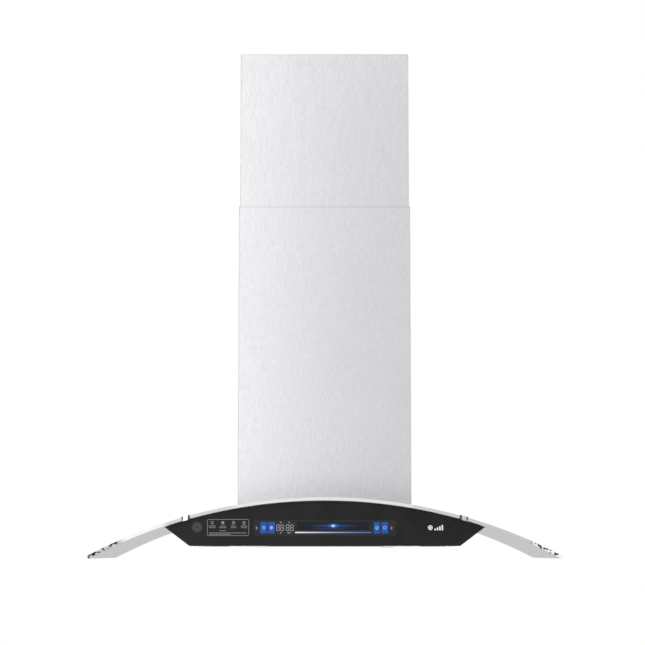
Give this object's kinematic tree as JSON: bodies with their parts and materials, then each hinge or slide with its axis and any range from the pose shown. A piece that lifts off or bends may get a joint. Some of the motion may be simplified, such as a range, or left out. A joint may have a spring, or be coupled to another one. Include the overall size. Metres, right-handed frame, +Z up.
{
  "type": "island range hood",
  "caption": "Ceiling-hung island cooker hood with a bent glass canopy, telescopic steel chimney, black control panel, grease filters, lamps and a centrifugal blower.",
  "frame": {"origin": "middle of the ceiling plate's upper face, on the ceiling plane", "axes": "+Z up out of the ceiling face, X along the hood's width, -Y towards the control side"},
  "size_m": [0.9, 0.5424, 1.0039],
  "materials": {
    "cover_steel": "vertically brushed",
    "zinc_steel": "zinc coated",
    "body_steel": "brushed along its length",
    "screw_steel": "bright zinc",
    "clip_chrome": "bright",
    "clear_glass": "clear, ground edges",
    "black_glass": "satin black glass",
    "window_black": "dark grey window",
    "display_grey": "display with a blue glow",
    "key_blue": "lit touch keys",
    "seal_grey": "soft strip",
    "foam_black": "foam tape",
    "housing_black": "moulded",
    "board_green": "circuit board",
    "sensor_grey": "tinted",
    "lens_white": "frosted",
    "cast_alloy": "turned",
    "fan_plastic": "moulded",
    "cable_grey": "round sheath",
    "filter_steel": "stainless"
  },
  "bodies": {
    "ceiling_frame": {"ceiling_plate": "zinc_steel", "upper_frame": "zinc_steel", "frame_clamp_bolts": "screw_steel", "upper_chimney_front": "cover_steel", "upper_chimney_rear": "cover_steel", "upper_chimney_screws": "screw_steel"},
    "hood": {"lower_frame": "zinc_steel", "frame_base_ring": "zinc_steel", "frame_base_screws": "screw_steel", "glass_canopy": "clear_glass", "glass_gasket": "seal_grey", "glass_edge_clips": "clip_chrome", "body_shell": "body_steel", "bulkheads": "body_steel", "body_screws": "screw_steel", "mounting_deck": "zinc_steel", "bottom_panel": "body_steel", "front_panel": "black_glass", "rear_panel": "black_glass", "bonding_strips": "foam_black", "control_window": "window_black", "displays": "display_grey", "touch_keys": "key_blue", "control_housing": "housing_black", "display_board": "board_green", "sensor_bezel": "sensor_grey", "sensor_lens": "sensor_grey", "control_box": "housing_black", "control_box_lid": "housing_black", "control_board": "board_green", "internal_leads": "cable_grey", "volute_scroll": "zinc_steel", "volute_side_plates": "zinc_steel", "blower_motor": "cast_alloy", "motor_bracket": "zinc_steel", "motor_bushes": "seal_grey", "blower_box": "zinc_steel", "blower_screws": "screw_steel", "outlet_collar": "housing_black", "damper_pin": "screw_steel", "run_capacitor": "cast_alloy", "cable_gland": "housing_black", "lamp_bezels": "clip_chrome", "lamp_lenses": "lens_white", "lamp_modules": "cast_alloy"},
    "chimney_cover": {"lower_chimney_front": "cover_steel", "lower_chimney_rear": "cover_steel", "lower_chimney_screws": "screw_steel"},
    "impeller": {"impeller": "fan_plastic", "impeller_rims": "fan_plastic", "motor_shaft": "screw_steel", "impeller_nut": "screw_steel"},
    "filter_left": {"filter_left_frame": "filter_steel", "filter_left_baffles": "filter_steel"},
    "filter_right": {"filter_right_frame": "filter_steel", "filter_right_baffles": "filter_steel"},
    "latch_left": {"latch_left": "filter_steel"},
    "latch_right": {"latch_right": "filter_steel"},
    "damper_flap_left": {"damper_flap_left": "housing_black"},
    "damper_flap_right": {"damper_flap_right": "housing_black"}
  },
  "joints": [
    {"name": "height_adjust", "type": "slide", "parent": "ceiling_frame", "child": "hood", "axis": [0, 0, 1], "range_m": [-0.14, 0.14]},
    {"name": "chimney_lift", "type": "slide", "parent": "hood", "child": "chimney_cover", "axis": [0, 0, 1], "range_m": [0, 0.13]},
    {"name": "impeller_spin", "type": "hinge", "parent": "hood", "child": "impeller", "pos_m": [-0.0585, 0, -0.8], "axis": [0, 1, 0], "continuous": true},
    {"name": "damper_left_swing", "type": "hinge", "parent": "hood", "child": "damper_flap_left", "pos_m": [0, 0, -0.612], "axis": [0, 1, 0], "range_deg": [0, 75]},
    {"name": "damper_right_swing", "type": "hinge", "parent": "hood", "child": "damper_flap_right", "pos_m": [0, 0, -0.612], "axis": [0, -1, 0], "range_deg": [0, 75]},
    {"name": "filter_left_swing", "type": "hinge", "parent": "hood", "child": "filter_left", "pos_m": [-0.122, 0.17, -0.978], "axis": [1, 0, 0], "range_deg": [0, 45]},
    {"name": "latch_left_slide", "type": "slide", "parent": "filter_left", "child": "latch_left", "axis": [0, 1, 0], "range_m": [0, 0.006], "stiffness_N_per_m": 400, "springref_m": -0.004},
    {"name": "filter_right_swing", "type": "hinge", "parent": "hood", "child": "filter_right", "pos_m": [0.122, 0.17, -0.978], "axis": [1, 0, 0], "range_deg": [0, 45]},
    {"name": "latch_right_slide", "type": "slide", "parent": "filter_right", "child": "latch_right", "axis": [0, 1, 0], "range_m": [0, 0.006], "stiffness_N_per_m": 400, "springref_m": -0.004}
  ]
}
